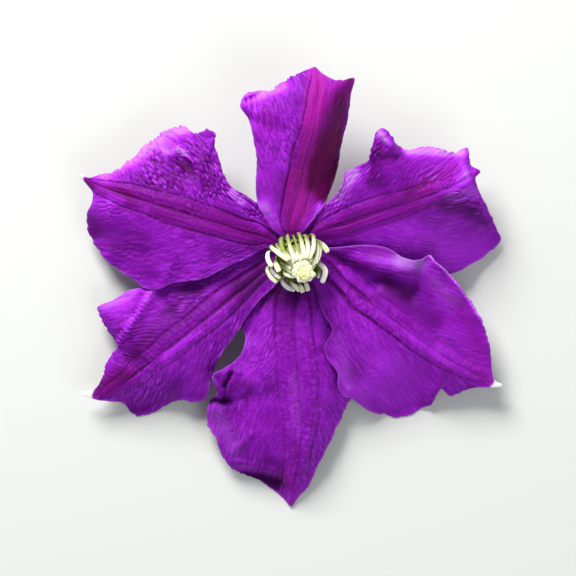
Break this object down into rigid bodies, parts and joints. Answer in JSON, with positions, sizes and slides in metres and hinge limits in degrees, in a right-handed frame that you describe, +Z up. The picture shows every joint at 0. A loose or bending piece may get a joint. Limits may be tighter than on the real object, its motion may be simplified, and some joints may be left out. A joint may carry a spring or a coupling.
{
  "type": "clematis flower",
  "caption": "Large-flowered violet clematis bloom, as picked, lying face up on its short stalk: broad veined sepals round a boss of cream stamens and a tuft of pale yellow styles.",
  "frame": {"origin": "middle of the box's base, on the surface that the flower lies on", "axes": "+Z up, the way the flower faces; +Y towards the top sepal; +X to the right as seen from above"},
  "size_m": [0.1274, 0.1326, 0.0288],
  "materials": {
    "sepal": "violet petal, soft and velvety, with a red-purple bar along its veins",
    "stalk": "green stalk flushed with purple, finely ribbed and downy",
    "stamen": "cream filaments and anthers, green at the base, waxy",
    "style": "pale yellow styles, silky"
  },
  "bodies": {
    "root": {"sepal_top": "sepal", "sepal_upper_left": "sepal", "sepal_lower_left": "sepal", "sepal_bottom": "sepal", "sepal_lower_right": "sepal", "sepal_upper_right": "sepal", "stalk_and_receptacle": "stalk", "stamens": "stamen", "styles": "style"}
  },
  "joints": []
}
